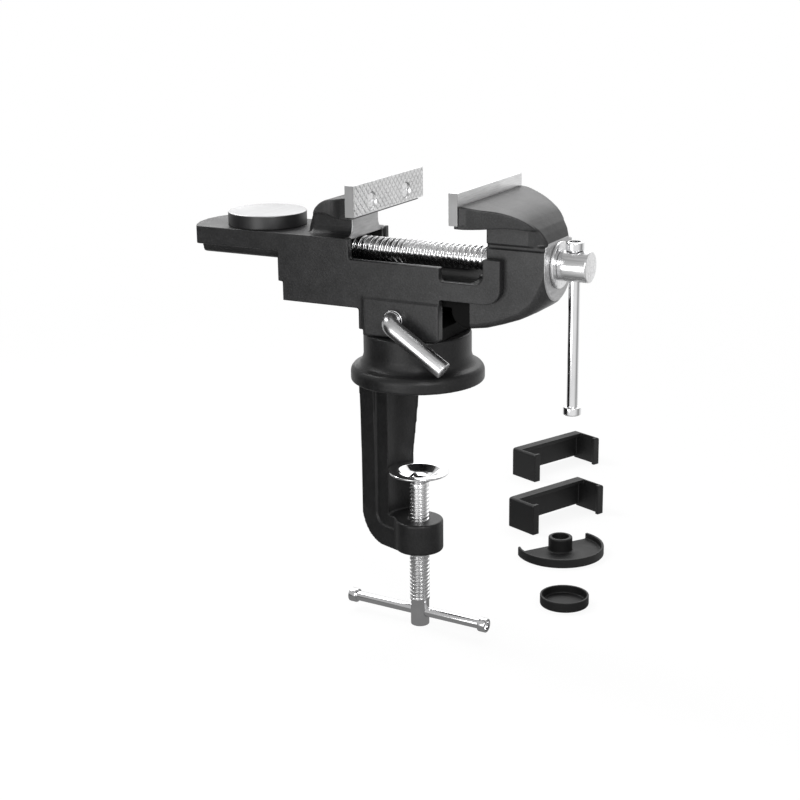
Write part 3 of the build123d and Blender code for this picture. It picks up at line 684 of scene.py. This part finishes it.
def anvil():
    """The round striking block on the slab, behind the fixed jaw."""
    (x0, _, z0), (x1, _, z1) = box_mm("anvil_disc")
    turned("anvil", rod((x1 - x0) / 2, z0, z1), at((x0 + x1) / 2, 0, 0), M["disc"], "head", "ground_steel",
           "anvil_disc", 0.5, 128)


# ------------------------------------------------------------------ main screw
def main_screw():
    (x0, _, _), (x1, _, _) = box_mm("main_screw")
    low = smooth_profile([(0, x0), (JOURNAL_R, x0), (JOURNAL_R, SHOULDER_X), (SCREW_R - 1.0, SHOULDER_X),
                          (SCREW_R, SHOULDER_X + 1.0)], 0.3)
    high = smooth_profile([(SCREW_R, THREAD_X1 + 1.0), (SCREW_R, HEAD_X), (HEAD_R, HEAD_X), (HEAD_R, x1),
                           (0, x1)], 0.8, 6)
    thread = (SCREW_R, SHOULDER_X + 1.6, THREAD_X1)
    verts, faces = threaded_rod(low, high, thread, SCREW_PITCH, SCREW_DEPTH, SCREW_RUN_OUT)
    screw = add_mesh("main_screw_form", placed(verts, SCREW_AXIS), faces, M["thread"], "spindle",
                     "bright_plate", "main_screw", THREAD_ANGLE)
    screw.data.materials.append(M["head"])
    for p in screw.data.polygons:
        if p.center.x > (HEAD_X - 0.2) * MM:
            p.material_index = 1
    bore = rod(BAR_R + 0.1, SCREW_Z - BORE_REACH, SCREW_Z + BORE_REACH)
    cut(screw, *lathe(bore, 48, at(BAR_X, 0, 0)), THREAD_ANGLE)
    collar = ring_profile(SCREW_R, COLLAR_R, COLLAR_X, HEAD_X)
    turned("stop_collar_form", collar, SCREW_AXIS, M["head"], "spindle", "bright_plate", "stop_collar", 0.5)


def main_bar():
    (_, _, z0), (_, _, z1) = box_mm("main_bar")
    turned("main_bar_form", handle_rod(BAR_R, z0, z1), at(BAR_X, 0, 0), M["chrome"], "spindle_bar",
           "bright_plate", "main_bar", 0.3, 64)
    for name in ("main_bar_knob_bottom", "main_bar_knob_top"):
        (x0, _, z0), (x1, _, z1) = box_mm(name)
        knob(name, at(BAR_X, 0, 0), z0, z1, BAR_R, (x1 - x0) / 2, "spindle_bar")


# ------------------------------------------------------------------ clamp
def clamp_screw():
    (_, _, z0), (_, _, z1) = box_mm("clamp_screw")
    low = smooth_profile([(0, z0), (HUB_R, z0), (HUB_R, HUB_TOP), (CLAMP_R - 0.1, HUB_TOP + 0.6),
                          (CLAMP_R, HUB_TOP + 1.2)], 0.35)
    high = smooth_profile([(CLAMP_R, CLAMP_TOP - 1.4), (CLAMP_R - 0.8, CLAMP_TOP), (CLAMP_PIN_R, CLAMP_TOP),
                           (CLAMP_PIN_R, z1), (0, z1)], 0.3)
    thread = (CLAMP_R, HUB_TOP + 1.3, CLAMP_TOP - 1.5)
    verts, faces = threaded_rod(low, high, thread, CLAMP_PITCH, CLAMP_DEPTH, CLAMP_RUN_OUT)
    screw = add_mesh("clamp_screw_form", verts, faces, M["thread"], "clamp_spindle", "bright_plate",
                     "clamp_screw", THREAD_ANGLE)
    bore = rod(CLAMP_BAR_R + 0.1, -BORE_REACH, BORE_REACH)
    cut(screw, *lathe(bore, 48, CLAMP_BAR_AXIS), THREAD_ANGLE)


def clamp_cup():
    profile = [(r, CUP_Z + z) for r, z in CUP_PROFILE]
    turned("clamp_cup_form", profile, None, M["chrome"], "cup", "bright_plate", "clamp_cup", 0.55, 128)
    (_, _, z0), (_, _, z1) = box_mm("cup_rivet")
    head = [(CLAMP_PIN_R + 0.02, z0), (RIVET_R, z0), (RIVET_R, z0 + 0.7), (3.2, z1 - 0.5), (0, z1)]
    turned("cup_rivet_form", head, None, M["chrome"], "clamp_spindle", "bright_plate", "cup_rivet", 0.5, 64)


def clamp_bar():
    turned("clamp_bar_form", handle_rod(CLAMP_BAR_R, *CLAMP_BAR_ENDS), CLAMP_BAR_AXIS, M["chrome"],
           "clamp_handle", "bright_plate", "clamp_bar", 0.3, 64)
    for name, x0 in zip(("clamp_bar_knob_left", "clamp_bar_knob_right"), CLAMP_KNOB_STARTS):
        knob(name, CLAMP_BAR_AXIS, x0, x0 + CLAMP_KNOB_LENGTH, CLAMP_BAR_R, CLAMP_KNOB_R, "clamp_handle")


# ------------------------------------------------------------------ lock lever
def tube(path, radii, normal, segments=48):
    """A round bar along a flat path. radii gives the radius at each point; 0 closes an end."""
    verts, rings = [], []
    for i, (p, radius) in enumerate(zip(path, radii)):
        before, after = path[max(i - 1, 0)], path[min(i + 1, len(path) - 1)]
        across = (after - before).normalized().cross(normal).normalized()

        def point(side, up, r):
            return tuple(p + (normal * side + across * up) * r)
        add_ring(verts, rings, segments, radius, point)
    return verts, skin(rings)


def lock_lever():
    """A bent round bar that comes out of the side wall, with a hexagonal socket in its end."""
    out, along = (LEVER_ELBOW - LEVER_START).normalized(), (LEVER_TIP - LEVER_ELBOW).normalized()
    normal = out.cross(along).normalized()
    centre = LEVER_ELBOW - out * LEVER_BEND + along * LEVER_BEND
    root = LEVER_START + out * 0.02
    path, radii = [root, root, LEVER_START + out * 0.5], [0.0, LEVER_R - 0.5, LEVER_R]
    bend_steps, straight_steps, tip_steps = 12, 5, 6
    for k in range(bend_steps + 1):
        a = math.pi / 2 * k / bend_steps
        path.append(centre + (-along * math.cos(a) + out * math.sin(a)) * LEVER_BEND)
        radii.append(LEVER_R)
    straight = (LEVER_TIP - LEVER_ELBOW).length - LEVER_BEND - TIP_ROUND
    for k in range(1, straight_steps + 1):
        path.append(LEVER_ELBOW + along * (LEVER_BEND + straight * k / straight_steps))
        radii.append(LEVER_R)
    for k in range(1, tip_steps + 1):
        a = math.pi / 2 * k / tip_steps
        path.append(LEVER_TIP - along * TIP_ROUND * (1 - math.sin(a)))
        radii.append(LEVER_R - TIP_ROUND * (1 - math.cos(a)))
    path.append(LEVER_TIP.copy())
    radii.append(0.0)
    lever = add_mesh("lock_lever_form", *tube(path, radii, normal), M["lever"], "lever", "bright_plate",
                     "lock_lever")
    into_tip = Matrix((along.cross(normal), normal, along)).transposed().to_4x4()
    cut(lever, *lathe(rod(SOCKET_R, -SOCKET_DEPTH, 1.0), 6, Matrix.Translation(LEVER_TIP) @ into_tip))
    turned("lever_shaft_form", rod(SHAFT_R, *SHAFT_ENDS), LEVER_AXIS, M["chrome"], "lever", "bright_plate",
           None, 0.3, 48)
    turned("lever_ring_form", RING_PROFILE, LEVER_AXIS, M["chrome"], "head", "bright_plate", "lever_ring",
           0.2, 64)


# ------------------------------------------------------------------ jaw plates
def plate_relief(y, z, edge):
    """How far the face lies back at (y, z), which is edge away from the plate's nearest side."""
    cut_in = 0.0
    for u, share in (((y + z) / math.sqrt(2), 1.0), ((y - z) / math.sqrt(2), 0.8)):
        away = abs((u / GROOVE_PITCH) % 1.0 - 0.5) * GROOVE_PITCH
        cut_in = max(cut_in, share * max(0.0, 1.0 - away / (GROOVE_WIDTH / 2)))
    round_off = FACE_ROUND * max(0.0, 1.0 - edge / FACE_ROUND_WIDTH) ** 2
    return GROOVE_DEPTH * cut_in * min(1.0, edge / GROOVE_FADE) + round_off


def jaw_plate(node, body, face, side):
    """A plate with crossed grooves on its gripping face; side is the way that face looks along X."""
    (_, y0, z0), (_, y1, z1) = box_mm(node)
    ny, nz = PLATE_CELLS
    row = ny + 1
    verts, faces = [], []
    for j in range(nz + 1):
        z = z0 + (z1 - z0) * j / nz
        for i in range(row):
            y = y0 + (y1 - y0) * i / ny
            edge = min(y - y0, y1 - y, z - z0, z1 - z)
            verts.append((face - side * plate_relief(y, z, edge), y, z))
    for j in range(nz):
        for a in range(j * row, j * row + ny):
            faces.append((a, a + 1, a + 1 + row, a + row))
    # the rim of the face, carried straight back and closed
    rim = list(range(row)) + [j * row + ny for j in range(1, nz + 1)]
    rim += [nz * row + i for i in range(ny - 1, -1, -1)] + [j * row for j in range(nz - 1, 0, -1)]
    base, count = len(verts), len(rim)
    for k in rim:
        verts.append((face - side * PLATE_T, verts[k][1], verts[k][2]))
    for k in range(count):
        n = (k + 1) % count
        faces.append((rim[k], rim[n], base + n, base + k))
    faces.append(tuple(range(base, base + count)))
    plate = add_mesh(node + "_form", verts, faces, M["plate"], body, "ground_steel", node)
    for y in (-JAW_SCREW_Y, JAW_SCREW_Y):
        cut(plate, *lathe(SCREW_HOLE, 48, at(face, y, JAW_SCREW_Z, ALONG_X if side < 0 else AGAINST_X)))


# ------------------------------------------------------------------ stage
# What metal sees by direction, added to the room's level. Each is (direction, degrees from it within which
# the light is full, degrees beyond which it is nothing, strength).
ROOM_LEVEL = 0.50
ROOM_LIGHTS = (
    ((0.455, -0.845, -0.05), 25, 65, 0.36),       # from the camera's side
    ((-0.455, 0.845, 0.2), 30, 60, 0.20),         # behind
    ((-0.15, 0.75, 0.62), 22, 42, 0.8),           # high behind
    ((0.455, 0.845, -0.28), 18, 46, 0.42),        # low on the right, behind
    ((0.88, 0.474, -0.2), 12, 32, -0.22),         # duller on the right
    ((0, 0, -1), 25, 70, -0.28),                  # duller below
)
BLACK_FLAG = ((-0.84, -0.47, -0.27), 25, 38, 0.97)


def studio(tree, direction):
    """The brightness of the room by direction: a white studio with a black flag on the left."""
    def lobe(axis, inner, outer, strength):
        dot = tree.nodes.new("ShaderNodeVectorMath")
        dot.operation = "DOT_PRODUCT"
        tree.links.new(direction, dot.inputs[0])
        dot.inputs[1].default_value = Vector(axis).normalized()
        n = tree.nodes.new("ShaderNodeMapRange")
        n.interpolation_type = "SMOOTHSTEP"
        n.inputs["From Min"].default_value = math.cos(math.radians(outer))
        n.inputs["From Max"].default_value = math.cos(math.radians(inner))
        tree.links.new(dot.outputs["Value"], n.inputs[0])
        return maths(tree, "MULTIPLY", n.outputs[0], strength)
    level = ROOM_LEVEL
    for light in ROOM_LIGHTS:
        level = maths(tree, "ADD", level, lobe(*light))
    return maths(tree, "MULTIPLY", level, maths(tree, "SUBTRACT", 1.0, lobe(*BLACK_FLAG)))


def mixed(tree, fac, first, second):
    """Shader second where fac is 1, first where it is 0."""
    mix = tree.nodes.new("ShaderNodeMixShader")
    for output, sock in zip((fac, first, second), mix.inputs):
        tree.links.new(output, sock)
    return mix.outputs[0]


def stage_floor():
    """A white floor: white to the camera but for the object's shadow, and the studio to metal."""
    s, z = 30.0, FLOOR_Z * MM
    me = bpy.data.meshes.new("floor")
    me.from_pydata([(-s, -s, z), (s, -s, z), (s, s, z), (-s, s, z)], [], [(0, 1, 2, 3)])
    obj = bpy.data.objects.new("floor", me)
    bpy.context.scene.collection.objects.link(obj)
    mat = bpy.data.materials.new("floor_white")
    mat.use_nodes = True
    t = mat.node_tree
    t.nodes.clear()
    out = t.nodes.new("ShaderNodeOutputMaterial")
    paper = t.nodes.new("ShaderNodeBsdfDiffuse")
    paper.inputs["Color"].default_value = (0.9, 0.9, 0.9, 1)
    glow = t.nodes.new("ShaderNodeEmission")
    glow.inputs["Color"].default_value = WHITE
    glow.inputs["Strength"].default_value = 1.0
    path = t.nodes.new("ShaderNodeLightPath")
    coord = t.nodes.new("ShaderNodeTexCoord").outputs["Object"]
    # the share of plain white grows with the distance from the object
    far = t.nodes.new("ShaderNodeVectorMath")
    far.operation = "LENGTH"
    t.links.new(coord, far.inputs[0])
    seen = maths(t, "MAXIMUM", path.outputs["Is Camera Ray"], path.outputs["Is Transmission Ray"])
    seen = maths(t, "MULTIPLY", seen, map_range(t, far.outputs["Value"], 0.25, 0.9, 0.88, 1.0))
    away = t.nodes.new("ShaderNodeVectorMath")
    away.operation = "NORMALIZE"
    t.links.new(coord, away.inputs[0])
    mirror = t.nodes.new("ShaderNodeEmission")
    t.links.new(studio(t, away.outputs[0]), mirror.inputs["Strength"])
    shown = mixed(t, seen, paper.outputs[0], glow.outputs[0])
    t.links.new(mixed(t, path.outputs["Is Glossy Ray"], shown, mirror.outputs[0]), out.inputs[0])
    obj.data.materials.append(mat)


def world_light():
    """White to the camera, the studio to metal, and plain light from all round to the rest."""
    world = bpy.data.worlds.new("studio")
    bpy.context.scene.world = world
    world.use_nodes = True
    t = world.node_tree
    t.nodes.clear()
    out = t.nodes.new("ShaderNodeOutputWorld")
    path = t.nodes.new("ShaderNodeLightPath").outputs
    coord = t.nodes.new("ShaderNodeTexCoord").outputs["Generated"]
    plain, metal, white = (t.nodes.new("ShaderNodeBackground") for _ in range(3))
    # a little stronger from above
    t.links.new(map_range(t, axes(t, coord)["Z"], -0.3, 1.0, 0.45, 0.95), plain.inputs["Strength"])
    for shader in (metal, white):
        shader.inputs["Color"].default_value = WHITE
    t.links.new(studio(t, coord), metal.inputs["Strength"])
    white.inputs["Strength"].default_value = 1.0
    unseen = mixed(t, path["Is Glossy Ray"], plain.outputs[0], metal.outputs[0])
    t.links.new(mixed(t, path["Is Camera Ray"], unseen, white.outputs[0]), out.inputs[0])


def area(name, pos, target, size, power):
    """A lamp at pos that faces target, both in metres."""
    data = bpy.data.lights.new(name, "AREA")
    data.shape = "RECTANGLE"
    data.size, data.size_y = size
    data.energy = power
    obj = bpy.data.objects.new(name, data)
    bpy.context.scene.collection.objects.link(obj)
    obj.location = pos
    obj.rotation_euler = (Vector(target) - Vector(pos)).to_track_quat("-Z", "Y").to_euler()


def lamps():
    area("key", (0.38, -0.42, 0.26), (0.03, 0, 0.04), (0.22, 0.22), 1.5)
    area("rim", (-0.25, 1.0, 0.95), (0, 0, 0.03), (0.9, 0.6), 4.5)
    area("side", (-0.06, -0.37, 0.01), (0.04, 0, 0.07), (0.2, 0.2), 0.36)
    area("back", (-0.8, 0.8, 0.2), (-0.06, 0, 0.08), (0.3, 0.2), 0.35)
    area("left", (-0.477, 0.076, 0.476), (-0.045, -0.02, 0.09), (0.24, 0.24), 2.2)


plain_pieces()
castings()
loose_rubber()
anvil()
main_screw()
main_bar()
clamp_screw()
clamp_cup()
clamp_bar()
lock_lever()
jaw_plate("rear_jaw_plate", "head", REAR_FACE, 1)
jaw_plate("front_jaw_plate", "moving_jaw", FRONT_FACE, -1)
make_camera()
stage_floor()
world_light()
lamps()

scene = bpy.context.scene
scene.view_settings.view_transform = "Standard"
